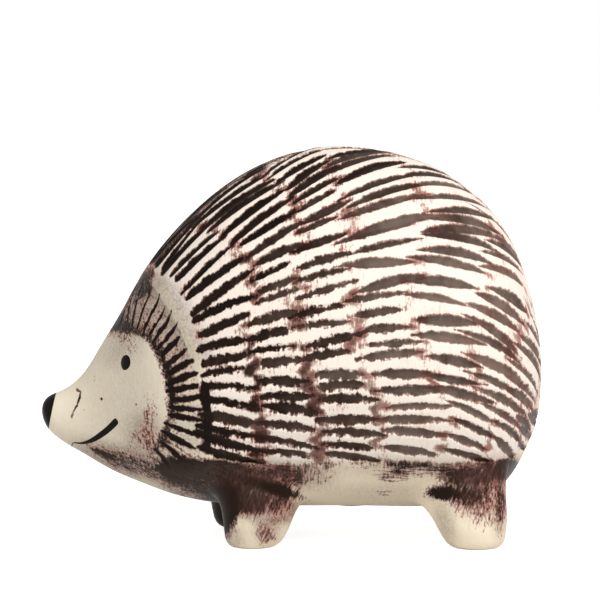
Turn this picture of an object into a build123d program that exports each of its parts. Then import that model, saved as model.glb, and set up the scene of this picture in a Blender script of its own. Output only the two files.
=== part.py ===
"""Hedgehog figurine in hand-finished stoneware: a hollow shell, a hollow head, four legs and inlaid features.

The frame has its origin on the table, under the middle of the figurine. +Z is up, the snout points
along -X, and the animal's left side, the one that a visitor sees, faces -Y. Lengths are in millimetres.
"""

import os

from build123d import *

os.makedirs("parts", exist_ok=True)

# Driving sizes of the whole figurine
figure_length = 160.0
figure_height = 125.8
figure_width = 96.0

# Cast clay: the wall of the hollow shell, and how deep the black slip is laid into it
wall_thickness = 4.5
inlay_depth = 0.9

# One size by which every cutting tool runs past what it cuts
overrun = 20.0

# Cross-sections from snout to tail. Each is a plane square to the figurine's middle plane. It meets the
# back outline and the belly outline at shares of the length and height, and has a share of the half width.
section_shares = [
    # back along, back up, belly along, belly up, half width
    (0.010, 0.356, 0.011, 0.281, 0.09),
    (0.037, 0.374, 0.041, 0.246, 0.15),
    (0.077, 0.411, 0.085, 0.213, 0.23),
    (0.117, 0.488, 0.141, 0.172, 0.34),
    (0.157, 0.572, 0.201, 0.140, 0.48),
    (0.197, 0.665, 0.257, 0.114, 0.62),
    (0.247, 0.754, 0.317, 0.096, 0.74),
    (0.317, 0.847, 0.387, 0.086, 0.86),
    (0.417, 0.938, 0.477, 0.083, 0.95),
    (0.538, 0.993, 0.558, 0.083, 0.99),
    (0.658, 0.993, 0.642, 0.083, 1.00),
    (0.778, 0.950, 0.722, 0.081, 0.99),
    (0.878, 0.864, 0.788, 0.082, 0.95),
    (0.942, 0.754, 0.842, 0.086, 0.86),
    (0.980, 0.616, 0.878, 0.098, 0.72),
    (0.998, 0.495, 0.907, 0.118, 0.55),
    (1.000, 0.390, 0.930, 0.146, 0.36),
    (0.992, 0.301, 0.950, 0.184, 0.18),
]
snout_end_shares = (0.000, 0.324)
tail_end_shares = (0.972, 0.243)
widest_share = 0.44

# The hollow runs from the fourth section to the third from the end
hollow_sections = slice(3, -2)
skin_sections = slice(1, -1)

# Where the head is luted to the shell: a curved edge over the back, round the cheek and under the throat
neck_back_shares = (0.213, 0.696)
neck_cheek_shares = (0.337, 0.369)
neck_throat_shares = (0.297, 0.098)

# Black nose: a plane across the snout, given by its upper and lower ends
nose_upper_shares = (0.028, 0.366)
nose_lower_shares = (0.013, 0.275)

# Eyes: upright ovals that lean back
eye_place_shares = (0.172, 0.459)
eye_height = 4.9
eye_breadth = 2.9
eye_lean = 12.0

# Smile: one inlaid line that runs from cheek to cheek under the snout
smile_cheek_shares = (0.159, 0.318)
smile_middle_shares = (0.115, 0.266)
smile_chin_shares = (0.052, 0.238)
smile_breadth = 1.5

# Legs: level cross-sections from the sole up into the shell. Higher up they draw in under the shell's side.
leg_section_sizes = [
    # height, radius along, radius across, how far drawn in
    (0.0, 6.0, 5.7, 0.0),
    (1.6, 8.4, 7.7, 0.0),
    (6.4, 10.4, 9.0, 0.0),
    (12.0, 12.0, 10.0, 0.2),
    (20.0, 13.8, 11.2, 1.4),
    (28.0, 14.4, 11.2, 4.0),
    (35.0, 12.0, 9.0, 7.0),
]

# Where the soles' centres are, as shares of the length, counted from the snout, and of the half width, and how
# far the legs lean along the body as they rise
front_left_sole_shares = (0.424, 0.46)
front_right_sole_shares = (0.398, 0.46)
hind_left_sole_shares = (0.868, 0.50)
hind_right_sole_shares = (0.862, 0.50)
front_leg_lean_share = 0.2
hind_leg_lean_share = -0.25

# Vent in the belly, which lets the steam out of the hollow in the kiln
vent_radius = 4.0
vent_along_share = 0.62


def place(shares):
    """A point of the middle plane from shares of the length, counted from the snout, and of the height."""
    along_share, up_share = shares
    return Vector((along_share - 1 / 2) * figure_length, 0, up_share * figure_height)


def section_frame(shares, inset):
    """The plane, lower radius, upper radius and half width of one cross-section, drawn in by inset."""
    back, belly = place(shares[0:2]), place(shares[2:4])
    up = (back - belly).normalized()
    span = (back - belly).length
    plane = Plane(
        origin=belly + up * (span * widest_share),
        x_dir=(0, 1, 0),
        z_dir=Vector(0, 1, 0).cross(up),
    )
    half_width = shares[4] * figure_width / 2
    return (
        plane,
        span * widest_share - inset,
        span * (1 - widest_share) - inset,
        half_width - inset,
    )


def draw_section(shares, inset):
    """An egg-shaped cross-section: two half ellipses that meet where the animal is widest."""
    plane, lower, upper, half_width = section_frame(shares, inset)
    with BuildSketch(plane) as section:
        with BuildLine():
            EllipticalCenterArc((0, 0), half_width, upper, start_angle=0, arc_size=180)
            EllipticalCenterArc(
                (0, 0), half_width, lower, start_angle=180, arc_size=180
            )
        make_face()
    return section.sketch


def animal_form(sections, inset=0.0, ends=()):
    """A smooth solid through the given cross-sections, closed at one point beyond each end if ends are given."""
    faces = [draw_section(shares, inset) for shares in sections]
    if ends:
        faces = [Vertex(place(ends[0])), *faces, Vertex(place(ends[1]))]
    with BuildPart() as form:
        loft(sections=faces)
    return form.part


def prism_across(outline):
    """A prism right across the figurine, from a closed outline in its middle plane."""
    with BuildPart() as prism:
        with BuildSketch(Plane.XZ):
            add(outline)
        extrude(amount=figure_width, both=True)
    return prism.part


# The three nested forms that the clay pieces and the inlays are cut from
outer_form = animal_form(section_shares, ends=(snout_end_shares, tail_end_shares))
skin_floor = animal_form(section_shares[skin_sections], inset=inlay_depth)
hollow_form = animal_form(section_shares[hollow_sections], inset=wall_thickness)

# Everything in front of the curved neck edge
neck_back, neck_cheek, neck_throat = (
    place(neck_back_shares),
    place(neck_cheek_shares),
    place(neck_throat_shares),
)
with BuildSketch() as head_side_outline:
    with BuildLine():
        neck_edge = ThreePointArc(
            (neck_back.X, neck_back.Z),
            (neck_cheek.X, neck_cheek.Z),
            (neck_throat.X, neck_throat.Z),
        )
        above = neck_edge @ 0 - (neck_edge % 0) * overrun
        below = neck_edge @ 1 + (neck_edge % 1) * overrun
        Line(neck_edge @ 0, above)
        Line(neck_edge @ 1, below)
        Polyline(
            above,
            (-figure_length, above.Y),
            (-figure_length, below.Y),
            below,
        )
    make_face()
head_side = prism_across(head_side_outline.sketch)

# The plane behind the black nose
nose_upper, nose_lower = place(nose_upper_shares), place(nose_lower_shares)
nose_back_plane = Plane(
    origin=nose_lower,
    x_dir=(0, 1, 0),
    z_dir=Vector(0, 1, 0).cross(nose_upper - nose_lower),
)

# Nose: a cap of black slip on the end of the snout
with BuildPart() as nose_tip:
    add(outer_form)
    split(bisect_by=nose_back_plane, keep=Keep.BOTTOM)

# Eye: an oval of black slip laid into the side of the face
eye_place = place(eye_place_shares)
with BuildPart() as eye_left:
    with BuildSketch(Plane.XZ):
        with Locations((eye_place.X, eye_place.Z)):
            Ellipse(eye_breadth / 2, eye_height / 2, rotation=-eye_lean)
    extrude(amount=figure_width / 2)
    add(outer_form, mode=Mode.INTERSECT)
    add(skin_floor, mode=Mode.SUBTRACT)

with BuildPart() as eye_right:
    add(eye_left.part)
    mirror(about=Plane.XZ, mode=Mode.REPLACE)

# Smile: a line of black slip laid in from one cheek to the other
smile_cheek, smile_middle, smile_chin = (
    place(smile_cheek_shares),
    place(smile_middle_shares),
    place(smile_chin_shares),
)
with BuildSketch() as smile_stroke:
    with BuildLine() as smile_line:
        ThreePointArc(
            (smile_cheek.X, smile_cheek.Z),
            (smile_middle.X, smile_middle.Z),
            (smile_chin.X, smile_chin.Z),
        )
    trace(smile_line.line, line_width=smile_breadth)

with BuildPart() as smile_inlay:
    add(prism_across(smile_stroke.sketch))
    add(outer_form, mode=Mode.INTERSECT)
    add(skin_floor, mode=Mode.SUBTRACT)

# Head: the hollow cone in front of the neck, with seats for the inlays
with BuildPart() as head_shell:
    add(outer_form)
    add(hollow_form, mode=Mode.SUBTRACT)
    add(head_side, mode=Mode.INTERSECT)
    for inlay in (nose_tip, eye_left, eye_right, smile_inlay):
        add(inlay.part, mode=Mode.SUBTRACT)

# Body: the hollow shell behind the neck, with its vent
vent_along = (vent_along_share - 1 / 2) * figure_length
with BuildPart() as body_shell:
    add(outer_form)
    add(hollow_form, mode=Mode.SUBTRACT)
    add(head_side, mode=Mode.SUBTRACT)
    with BuildSketch():
        with Locations((vent_along, 0)):
            Circle(vent_radius)
    extrude(amount=figure_height / 2, mode=Mode.SUBTRACT)


def leg(sole_shares, lean_share, side):
    """A stub leg: a loft from its flat sole up into the shell, cut to the shell's own curve where it seats."""
    along_share, across_share = sole_shares
    along = (along_share - 1 / 2) * figure_length
    across = across_share * figure_width / 2
    with BuildPart() as stub:
        for height, radius_along, radius_across, drawn_in in leg_section_sizes:
            with BuildSketch(Plane.XY.offset(height)):
                with Locations((along + lean_share * height, side * (across - drawn_in))):
                    Ellipse(radius_along, radius_across)
        loft()
        add(outer_form, mode=Mode.SUBTRACT)
    return stub


left, right = -1, 1
leg_front_left = leg(front_left_sole_shares, front_leg_lean_share, left)
leg_front_right = leg(front_right_sole_shares, front_leg_lean_share, right)
leg_hind_left = leg(hind_left_sole_shares, hind_leg_lean_share, left)
leg_hind_right = leg(hind_right_sole_shares, hind_leg_lean_share, right)

pieces = {
    "body_shell": body_shell,
    "head_shell": head_shell,
    "leg_front_left": leg_front_left,
    "leg_front_right": leg_front_right,
    "leg_hind_left": leg_hind_left,
    "leg_hind_right": leg_hind_right,
    "nose_tip": nose_tip,
    "eye_left": eye_left,
    "eye_right": eye_right,
    "smile_inlay": smile_inlay,
}
for name, piece in pieces.items():
    piece.part.label = name
    export_step(piece.part, f"parts/{name}.step")
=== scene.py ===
"""Looks of the hedgehog figurine: hand-carved stoneware, dark slip wiped back to cream clay.

The frame is the CAD model's, in metres. Shapes are worked out here in millimetres and scaled once, when
a mesh is made. Places that follow the photo are given in its pixels, 600 by 600, and land on the skin.
"""

import math
from collections import namedtuple

import bpy
import numpy as np
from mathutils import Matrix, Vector


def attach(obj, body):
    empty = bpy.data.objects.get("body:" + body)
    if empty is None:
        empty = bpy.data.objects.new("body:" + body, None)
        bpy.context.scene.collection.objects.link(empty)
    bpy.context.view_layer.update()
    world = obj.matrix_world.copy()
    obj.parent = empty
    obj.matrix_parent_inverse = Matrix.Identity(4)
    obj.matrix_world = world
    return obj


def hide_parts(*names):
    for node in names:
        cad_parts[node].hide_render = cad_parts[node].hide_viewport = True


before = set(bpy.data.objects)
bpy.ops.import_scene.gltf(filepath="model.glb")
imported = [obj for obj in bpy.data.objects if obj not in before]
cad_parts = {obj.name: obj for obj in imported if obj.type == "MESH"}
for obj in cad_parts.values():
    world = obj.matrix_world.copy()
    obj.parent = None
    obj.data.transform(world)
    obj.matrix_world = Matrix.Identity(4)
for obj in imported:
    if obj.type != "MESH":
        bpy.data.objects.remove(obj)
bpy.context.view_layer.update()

MM = 0.001

# Driving sizes of the whole figurine, in millimetres
figure_length = 160.0
figure_height = 125.8
figure_width = 96.0
widest_share = 0.44

# The photo's scale, the pixel under the middle of the figurine on the table, and the camera's height angle
mm_per_pixel = 0.3203
table_pixel = (291.3, 537.4)
photo_size = 600
camera_elevation = math.radians(5.0)
camera_distance = 1250.0

# Where the camera looks: how far along and how far up from the middle of the table pixel, in millimetres
aim = (photo_size / 2 - table_pixel[0]) * mm_per_pixel
lift = (table_pixel[1] - photo_size / 2) * mm_per_pixel

# Cross-sections from snout to tail, the same as in the CAD source
section_shares = np.array([
    # back along, back up, belly along, belly up, half width
    (0.010, 0.356, 0.011, 0.281, 0.09),
    (0.037, 0.374, 0.041, 0.246, 0.15),
    (0.077, 0.411, 0.085, 0.213, 0.23),
    (0.117, 0.488, 0.141, 0.172, 0.34),
    (0.157, 0.572, 0.201, 0.140, 0.48),
    (0.197, 0.665, 0.257, 0.114, 0.62),
    (0.247, 0.754, 0.317, 0.096, 0.74),
    (0.317, 0.847, 0.387, 0.086, 0.86),
    (0.417, 0.938, 0.477, 0.083, 0.95),
    (0.538, 0.993, 0.558, 0.083, 0.99),
    (0.658, 0.993, 0.642, 0.083, 1.00),
    (0.778, 0.950, 0.722, 0.081, 0.99),
    (0.878, 0.864, 0.788, 0.082, 0.95),
    (0.942, 0.754, 0.842, 0.086, 0.86),
    (0.980, 0.616, 0.878, 0.098, 0.72),
    (0.998, 0.495, 0.907, 0.118, 0.55),
    (1.000, 0.390, 0.930, 0.146, 0.36),
    (0.992, 0.301, 0.950, 0.184, 0.18),
])
snout_end_shares = (0.000, 0.324)
tail_end_shares = (0.972, 0.243)

# The neck edge and the plane behind the nose, as in the CAD source
neck_shares = ((0.213, 0.696), (0.337, 0.369), (0.297, 0.098))
nose_edge_shares = ((0.028, 0.366), (0.013, 0.275))

# Vent in the belly: its place, how far the skin is sunk in there, the radii between which it drops, and the
# height under which it does
vent_along = (0.62 - 0.5) * figure_length
vent_depth = 5.0
vent_drop = (3.6, 4.6)
vent_reach = 20.0

# The hand's unevenness comes from here, in a fixed order of draws
rng = np.random.default_rng(7)
quarter = np.pi / 2
mirror_flip = np.array([1.0, -1.0, 1.0])


def side_point(shares):
    """Side-view place (x, z) in millimetres from shares of the length, from the snout, and of the height."""
    shares = np.asarray(shares, float)
    return np.stack(
        [(shares[..., 0] - 0.5) * figure_length, shares[..., 1] * figure_height], axis=-1
    )


def unit(vectors):
    """Vectors scaled to length one."""
    return vectors / np.maximum(np.linalg.norm(vectors, axis=-1, keepdims=True), 1e-9)


def smooth_step(low, high, value):
    """0 below low, 1 above high, and a smooth cubic between them. With low above high it falls instead."""
    t = np.clip((value - low) / (high - low), 0, 1)
    return t * t * (3 - 2 * t)


def between(upper, lower, py):
    """1 between pixel rows of the photo, fading in over the upper pair of rows and out over the lower."""
    return smooth_step(*upper, py) * (1 - smooth_step(*lower, py))


class ClosedSpline:
    """A closed cubic spline through values at rising knots. A cyclic system gives its second derivatives."""

    def __init__(self, knots, values, period):
        self.knots = np.append(knots, knots[0] + period)
        self.values = np.concatenate([values, values[:1]])
        self.period = period
        count = len(knots)
        gap = np.diff(self.knots)
        before = np.roll(gap, 1)
        rise = np.diff(self.values, axis=0) / gap[:, None]
        system = np.zeros((count, count))
        row = np.arange(count)
        system[row, row] = 2 * (gap + before)
        system[row, (row + 1) % count] += gap
        system[row, (row - 1) % count] += before
        bend = np.linalg.solve(system, 6 * (rise - np.roll(rise, 1, axis=0)))
        self.bend = np.concatenate([bend, bend[:1]])

    def __call__(self, at):
        at = np.mod(np.asarray(at, float) - self.knots[0], self.period) + self.knots[0]
        i = np.clip(np.searchsorted(self.knots, at, side="right") - 1, 0, len(self.knots) - 2)
        gap = self.knots[i + 1] - self.knots[i]
        right = ((at - self.knots[i]) / gap)[..., None]
        left = 1 - right
        gap = gap[..., None]
        curve = left * self.values[i] + right * self.values[i + 1]
        return curve + gap**2 / 6 * ((left**3 - left) * self.bend[i] + (right**3 - right) * self.bend[i + 1])


back = side_point(section_shares[:, 0:2])
belly = side_point(section_shares[:, 2:4])
half_width = section_shares[:, 4:5] * figure_width / 2
snout_end, tail_end = side_point(snout_end_shares), side_point(tail_end_shares)


def steps(line):
    """Lengths of the straight steps from the snout end over a line of points to the tail end."""
    return np.linalg.norm(np.diff(np.vstack([snout_end, line, tail_end]), axis=0), axis=1)


section_along = np.cumsum((steps(back) + steps(belly)) / 2)
reach = section_along[-1]
section_along = section_along[:-1]
loop_knots = np.concatenate([[0], section_along, [reach], 2 * reach - section_along[::-1]])
outline = ClosedSpline(loop_knots, np.vstack([snout_end, back, tail_end, belly[::-1]]), 2 * reach)
breadth = ClosedSpline(
    loop_knots, np.vstack([[[0]], half_width, [[0]], -half_width[::-1]]), 2 * reach
)


def skin(along, around):
    """A point of the animal's smooth skin.

    along runs from 0 at the snout end to reach at the tail end and picks a fan of planes, each through a
    point of the back and one of the belly. around is the angle in that plane: 0 where the left side is
    widest, a quarter turn at the back, and minus a quarter turn at the belly. The section is two half
    ellipses that meet at the widest height.
    """
    along = np.clip(along, 1e-3, reach - 1e-3)
    top, bottom = outline(along), outline(2 * reach - along)
    upward = top - bottom
    span = np.linalg.norm(upward, axis=-1)
    upward = upward / span[..., None]
    rise = np.where(np.sin(around) > 0, 1 - widest_share, widest_share) * span * np.sin(around)
    side = bottom + upward * (span * widest_share + rise)[..., None]
    across = -breadth(along)[..., 0] * np.cos(around)
    return np.stack([side[..., 0], across, side[..., 1]], axis=-1)


def skin_slopes(along, around):
    """How the skin point moves with along and with around, from small steps each way."""
    step = 0.02
    turn = 0.001
    by_along = (skin(along + step, around) - skin(along - step, around)) / (2 * step)
    by_around = (skin(along, around + turn) - skin(along, around - turn)) / (2 * turn)
    return by_along, by_around


def skin_normal(along, around):
    """Outward normal of the smooth skin: the cross product of its two slopes."""
    by_along, by_around = skin_slopes(np.clip(along, 0.1, reach - 0.1), around)
    return unit(np.cross(by_along, by_around))


def photo_pixels(points):
    """Where points in millimetres show in the photo. The right side is taken as the mirror of the left."""
    x, y, z = points[..., 0], -np.abs(points[..., 1]), points[..., 2]
    depth = 1 + y * math.cos(camera_elevation) / camera_distance
    height = z * math.cos(camera_elevation) + y * math.sin(camera_elevation)
    px = photo_size / 2 + (x - aim) / depth / mm_per_pixel
    py = photo_size / 2 - (height - lift) / depth / mm_per_pixel
    return px, py


# A fine table of the skin's points that the camera sees, to look pixels up in
table_along, table_around = np.meshgrid(
    np.linspace(0.3, reach - 0.3, 520), np.linspace(-quarter, 1.06 * quarter, 420), indexing="ij"
)
table_px, table_py = photo_pixels(skin(table_along, table_around))


def on_skin(pixels):
    """The skin's along and around under pixels of the photo: the nearest of a fine table of points."""
    found = []
    for px, py in np.atleast_2d(pixels):
        i = np.argmin((table_px - px) ** 2 + (table_py - py) ** 2)
        found.append((table_along.flat[i], table_around.flat[i]))
    return np.array(found)


def arc_through(first, middle, last):
    """Centre and radius of the circle through three points."""
    system = 2 * np.array([middle - first, last - first])
    right = np.array([middle @ middle - first @ first, last @ last - first @ first])
    centre = np.linalg.solve(system, right)
    return centre, np.linalg.norm(first - centre)


neck_centre, neck_radius = arc_through(*side_point(neck_shares))


def behind_neck(points):
    """Side-view distance behind the neck edge, in millimetres, and negative on the head."""
    return np.hypot(points[..., 0] - neck_centre[0], points[..., 2] - neck_centre[1]) - neck_radius


nose_edge = side_point(nose_edge_shares)
nose_edge_side = unit(np.array([nose_edge[0, 1] - nose_edge[1, 1], nose_edge[1, 0] - nose_edge[0, 0]]))


def behind_nose(points):
    """Side-view distance behind the plane at the back of the nose, in millimetres."""
    return (points[..., 0] - nose_edge[1, 0]) * nose_edge_side[0] + (
        points[..., 2] - nose_edge[1, 1]
    ) * nose_edge_side[1]


def crossing(distance, around, low, high):
    """For each angle around, the along at which a distance over the skin first turns positive."""
    along = np.linspace(low, high, 900)
    field = distance(skin(along[:, None], around[None, :]))
    last = np.argmax(field > 0, axis=0)
    here = np.arange(len(around))
    before, after = field[last - 1, here], field[last, here]
    return along[last - 1] + (along[last] - along[last - 1]) * before / (before - after)


# Pieces are made from grids of points


def make_piece(name, points, face_sets, node, values=None):
    """A mesh piece from points in millimetres and sets of faces, with fields on its points.

    It takes the place of one node of the solid model and rides on the one body.
    """
    mesh = bpy.data.meshes.new(name)
    mesh.from_pydata(np.asarray(points) * MM, [], sum((faces.tolist() for faces in face_sets), []))
    mesh.polygons.foreach_set("use_smooth", np.ones(len(mesh.polygons), bool))
    for key, value in (values or {}).items():
        field = mesh.attributes.new(key, "FLOAT", "POINT")
        field.data.foreach_set("value", np.asarray(value, np.float32).ravel())
    mesh.update()
    piece = bpy.data.objects.new(name, mesh)
    bpy.context.scene.collection.objects.link(piece)
    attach(piece, "root")
    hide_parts(node)
    return piece


def grid_faces(rows, columns, closed, flip=False):
    """Quads between neighbouring points of a grid, row by row. Closed joins the last column to the first.

    They face the side from which the rows run to the right where the columns run up. flip turns them over.
    """
    here = np.arange(columns if closed else columns - 1)
    after = (here + 1) % columns
    row = np.arange(rows - 1)[:, None] * columns
    next_row = row + columns
    corners = [row + here, next_row + here, next_row + after, row + after]
    quads = np.stack(corners, axis=-1).reshape(-1, 4)
    return quads[:, ::-1] if flip else quads


def cap_faces(centre, ring, flip):
    """Triangles from one centre point to a ring of points."""
    fan = np.stack([np.full(len(ring) - 1, centre), ring[:-1], ring[1:]], axis=-1)
    return fan[:, ::-1] if flip else fan


def loop_of(count, first=0):
    """Indices of a closed ring of points, with the first one again at the end."""
    return first + np.arange(count + 1) % count


# Strokes of the loop tool

Stroke = namedtuple("Stroke", "centre heading normal length width depth bow skew taper tone")
stroke_depth = 0.85

# The floor of a cut spreads past its outline by this share. The distance inside is held far from every cut
floor_spread = 1.3
far_outside = -2.5

# The film at a cut's thin ends: where on its half length it sets in, and how far out it reaches in mm
end_zone, end_film_reach = (0.5, 0.9), (0.1, 1.5)


def carve(points, normals, strokes):
    """Cut strokes into the skin.

    Each stroke is a curved lens on the tangent plane at its middle. Along it the half width is a bump,
    4 p (1 - p) to the power taper, where p is the share of the length to the power skew. Across it the depth
    is near a parabola. Returns, per point, the height of the cut skin, the distance inside the nearest
    stroke's edge, both in millimetres, that stroke's tone, and how near the point is to a stroke's thin end.
    """
    height = np.zeros(len(points))
    inside = np.full(len(points), far_outside)
    tone = np.ones(len(points))
    thin_end = np.zeros(len(points))
    for cut in strokes:
        offset = points - cut.centre
        within_reach = (offset**2).sum(axis=1) < (cut.length * 0.62 + 3) ** 2
        same_side = normals @ cut.normal > 0.3
        near = np.nonzero(within_reach & same_side)[0]
        offset = offset[near]
        sideways = np.cross(cut.normal, cut.heading)
        run = offset @ cut.heading / (cut.length / 2)
        off = offset @ sideways - cut.bow * cut.length * (1 - run**2) / 2
        place = np.clip((run + 1) / 2, 0, 1) ** cut.skew
        bump = np.clip(4 * place * (1 - place), 0, 1)
        half = np.maximum(cut.width / 2 * bump**cut.taper, 1e-4)
        past = np.maximum(np.abs(run) - 1, 0) * cut.length / 2
        edge = half - np.hypot(off, past * 1.5)
        nearest = edge > inside[near]
        tone[near[nearest]] = cut.tone
        inside[near] = np.maximum(inside[near], edge)
        profile = np.clip(1 - (off / (half * floor_spread)) ** 2, 0, 1) ** 1.5
        height[near] = np.minimum(height[near], -cut.depth * bump**0.5 * profile * (np.abs(run) < 1))
        end = smooth_step(*end_zone, np.abs(run)) * (1 - smooth_step(*end_film_reach, -edge))
        thin_end[near] = np.maximum(thin_end[near], end)
    return height, inside, tone, thin_end


# Row edges of the coat, from its lower edge up to the back, in photo pixels. The first is the hood edge.
row_edge_pixels = [
    [(199, 456), (203, 430), (205, 400), (204, 370), (199, 346), (195, 327), (190, 313), (185, 300),
     (180, 286), (172, 277), (160, 268), (150, 261)],
    [(261, 461), (258, 420), (254, 385), (248, 350), (250, 318), (256, 290), (250, 262), (232, 240),
     (205, 225), (184, 221)],
    [(319, 462), (321, 425), (314, 390), (303, 355), (298, 320), (294, 285), (299, 250), (303, 222),
     (296, 200), (272, 184), (243, 175)],
    [(380, 460), (384, 428), (375, 400), (364, 368), (357, 330), (352, 290), (351, 255), (350, 222),
     (350, 200), (338, 178), (312, 150)],
    [(438, 461), (450, 425), (444, 395), (428, 368), (416, 335), (411, 300), (416, 268), (428, 240),
     (438, 218), (420, 193), (385, 152)],
    [(488, 458), (495, 420), (480, 385), (472, 345), (474, 315), (490, 290), (499, 262), (496, 238),
     (480, 208), (447, 172)],
    [(519, 452), (522, 420), (518, 385), (515, 350), (522, 320), (531, 300)],
]
# Two more row edges close the coat at the tail, at shares of the way that is left to the tail end
tail_row_shares = (0.52, 0.16)

# How strokes lie in the photo: pixel, and rise to the right in degrees
stroke_rise = np.array([
    (170, 250, 50), (200, 280, 40), (190, 320, 30), (230, 300, 28), (210, 340, 22), (250, 200, 40),
    (230, 240, 36), (300, 180, 34), (290, 220, 28), (330, 165, 34), (350, 200, 24), (300, 250, 22),
    (260, 330, 15), (230, 360, 14), (300, 330, 12), (350, 300, 9), (350, 250, 14), (400, 250, 8),
    (400, 200, 17), (400, 175, 18), (430, 180, 6),
    (450, 200, -4), (460, 230, -8), (480, 250, -12), (500, 280, -26), (520, 300, -42), (530, 350, -62),
    (450, 300, -4), (480, 330, -12), (500, 360, -26), (450, 370, -3), (500, 400, -30), (470, 430, -18),
    (400, 400, 0), (350, 380, 4), (300, 400, -2), (250, 400, -2), (250, 440, -12), (290, 440, -10),
    (340, 430, -4), (400, 440, -8), (230, 380, 2), (225, 420, -8), (225, 450, -15), (520, 430, -50),
])

# The hand at work on the coat. At a photo pixel: the strokes' width and the gap from one to the next, in mm,
# how dark the slip lies in them, which falls towards the right side where the light falls: partly thinner
# slip and partly painted sheen, and how far their edges wander in mm. Then how much slip was left on the
# ridges and between the strokes' ends, from 0, wiped clean, to 1. Last, how far the ends stray in mm, the
# strokes' length as a share of the row, and their taper, from 0.4, blunt, to 1.4, drawn out to thin ends.
coat_marks = np.array([
    # px, py, width, gap, dark, wander, on ridges, at ends, stray, length, taper
    (165, 250, 3.1, 4.5, 1.02, 0.20, 0.10, 0.35, 0.8, 1.08, 0.45),
    (200, 210, 3.4, 4.6, 1.02, 0.20, 0.14, 0.42, 1.1, 1.10, 0.45),
    (250, 180, 3.1, 4.6, 0.98, 0.22, 0.15, 0.42, 1.4, 1.08, 0.50),
    (300, 160, 2.9, 4.5, 0.94, 0.26, 0.20, 0.46, 1.4, 1.05, 0.55),
    (345, 158, 2.7, 4.6, 0.86, 0.24, 0.15, 0.36, 1.8, 1.05, 0.65),
    (400, 165, 2.7, 4.8, 0.78, 0.18, 0.08, 0.34, 2.2, 1.03, 0.85),
    (185, 290, 3.0, 4.7, 0.98, 0.30, 0.10, 0.30, 0.9, 1.05, 0.50),
    (230, 300, 2.6, 4.9, 0.94, 0.46, 0.25, 0.36, 1.6, 1.00, 0.50),
    (215, 345, 2.5, 4.9, 0.91, 0.50, 0.30, 0.48, 1.2, 1.02, 0.50),
    (250, 240, 2.6, 4.9, 0.95, 0.30, 0.15, 0.30, 1.9, 1.05, 0.52),
    (300, 200, 2.5, 4.9, 0.88, 0.30, 0.18, 0.36, 2.1, 1.05, 0.65),
    (300, 300, 2.3, 5.0, 0.79, 0.60, 0.42, 0.44, 2.5, 1.00, 0.80),
    (350, 230, 2.4, 5.2, 0.77, 0.32, 0.22, 0.36, 2.9, 1.06, 0.90),
    (400, 250, 2.4, 5.4, 0.69, 0.24, 0.14, 0.34, 3.2, 1.03, 1.10),
    (450, 200, 2.6, 5.3, 0.70, 0.16, 0.12, 0.42, 3.0, 0.98, 1.00),
    (500, 260, 2.0, 5.5, 0.64, 0.20, 0.15, 0.50, 2.6, 0.94, 1.10),
    (470, 300, 2.5, 5.7, 0.63, 0.16, 0.05, 0.30, 3.0, 0.98, 1.20),
    (525, 340, 1.9, 5.4, 0.66, 0.28, 0.30, 0.60, 2.0, 0.94, 1.00),
    (533, 395, 1.7, 5.2, 0.66, 0.30, 0.30, 0.60, 1.6, 0.90, 0.90),
    (522, 440, 1.9, 5.2, 0.68, 0.34, 0.30, 0.70, 1.6, 0.90, 0.90),
    (450, 380, 2.6, 5.6, 0.67, 0.26, 0.15, 0.60, 2.4, 0.96, 1.00),
    (380, 330, 2.4, 5.2, 0.70, 0.44, 0.25, 0.48, 2.8, 0.94, 0.90),
    (300, 370, 2.4, 5.1, 0.80, 0.68, 0.45, 0.70, 2.0, 0.98, 0.70),
    (350, 400, 2.7, 5.2, 0.76, 0.58, 0.30, 0.75, 1.8, 0.98, 0.70),
    (300, 430, 2.8, 5.1, 0.80, 0.62, 0.35, 0.90, 1.6, 1.00, 0.60),
    (240, 400, 2.8, 5.0, 0.89, 0.58, 0.34, 0.90, 1.3, 1.02, 0.55),
    (220, 440, 2.8, 5.2, 0.93, 0.55, 0.38, 1.00, 1.0, 1.06, 0.50),
    (270, 440, 2.8, 5.1, 0.86, 0.60, 0.40, 0.95, 1.4, 1.05, 0.60),
    (400, 430, 2.7, 5.5, 0.71, 0.42, 0.20, 0.70, 2.0, 0.98, 0.75),
    (500, 430, 2.5, 5.4, 0.68, 0.34, 0.20, 0.65, 1.8, 1.00, 0.80),
    (440, 440, 2.6, 5.4, 0.69, 0.38, 0.20, 0.65, 2.0, 0.98, 0.75),
    (340, 445, 2.7, 5.2, 0.76, 0.55, 0.30, 0.85, 1.6, 1.00, 0.65),
])


# How far a row of these tables works, in pixels
mark_reach, rise_reach = 24.0, 22.0


def spread(table, px, py, reach_pixels):
    """The values of a table for each pixel: its rows, weighed by a bell curve of their distance."""
    away = (px[..., None] - table[:, 0]) ** 2 + (py[..., None] - table[:, 1]) ** 2
    weight = np.exp(-away / (2 * reach_pixels**2)) + 1e-12
    return (weight @ table[:, 2:]) / weight.sum(axis=-1, keepdims=True)


# Angles around at which the row edges are known
levels = np.linspace(-1.0, quarter, 66)


def row_edge(pixels):
    """The along of one row edge at each of the levels around, from its pixels."""
    spots = on_skin(pixels)
    order = np.argsort(spots[:, 1])
    return np.interp(levels, spots[order, 1], spots[order, 0])


row_edges = [row_edge(pixels) for pixels in row_edge_pixels]
tail_gap = reach - row_edges[-1]
row_edges += [reach - tail_gap * share for share in tail_row_shares]
coat_low_pixels = [
    (197, 455), (262, 463), (320, 462), (380, 459), (440, 461), (490, 460), (515, 456), (528, 446),
]
coat_low = on_skin(coat_low_pixels)


def coat_floor(along):
    """The lowest angle around that strokes reach, for an along."""
    return np.interp(along, coat_low[:, 0], coat_low[:, 1])


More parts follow.
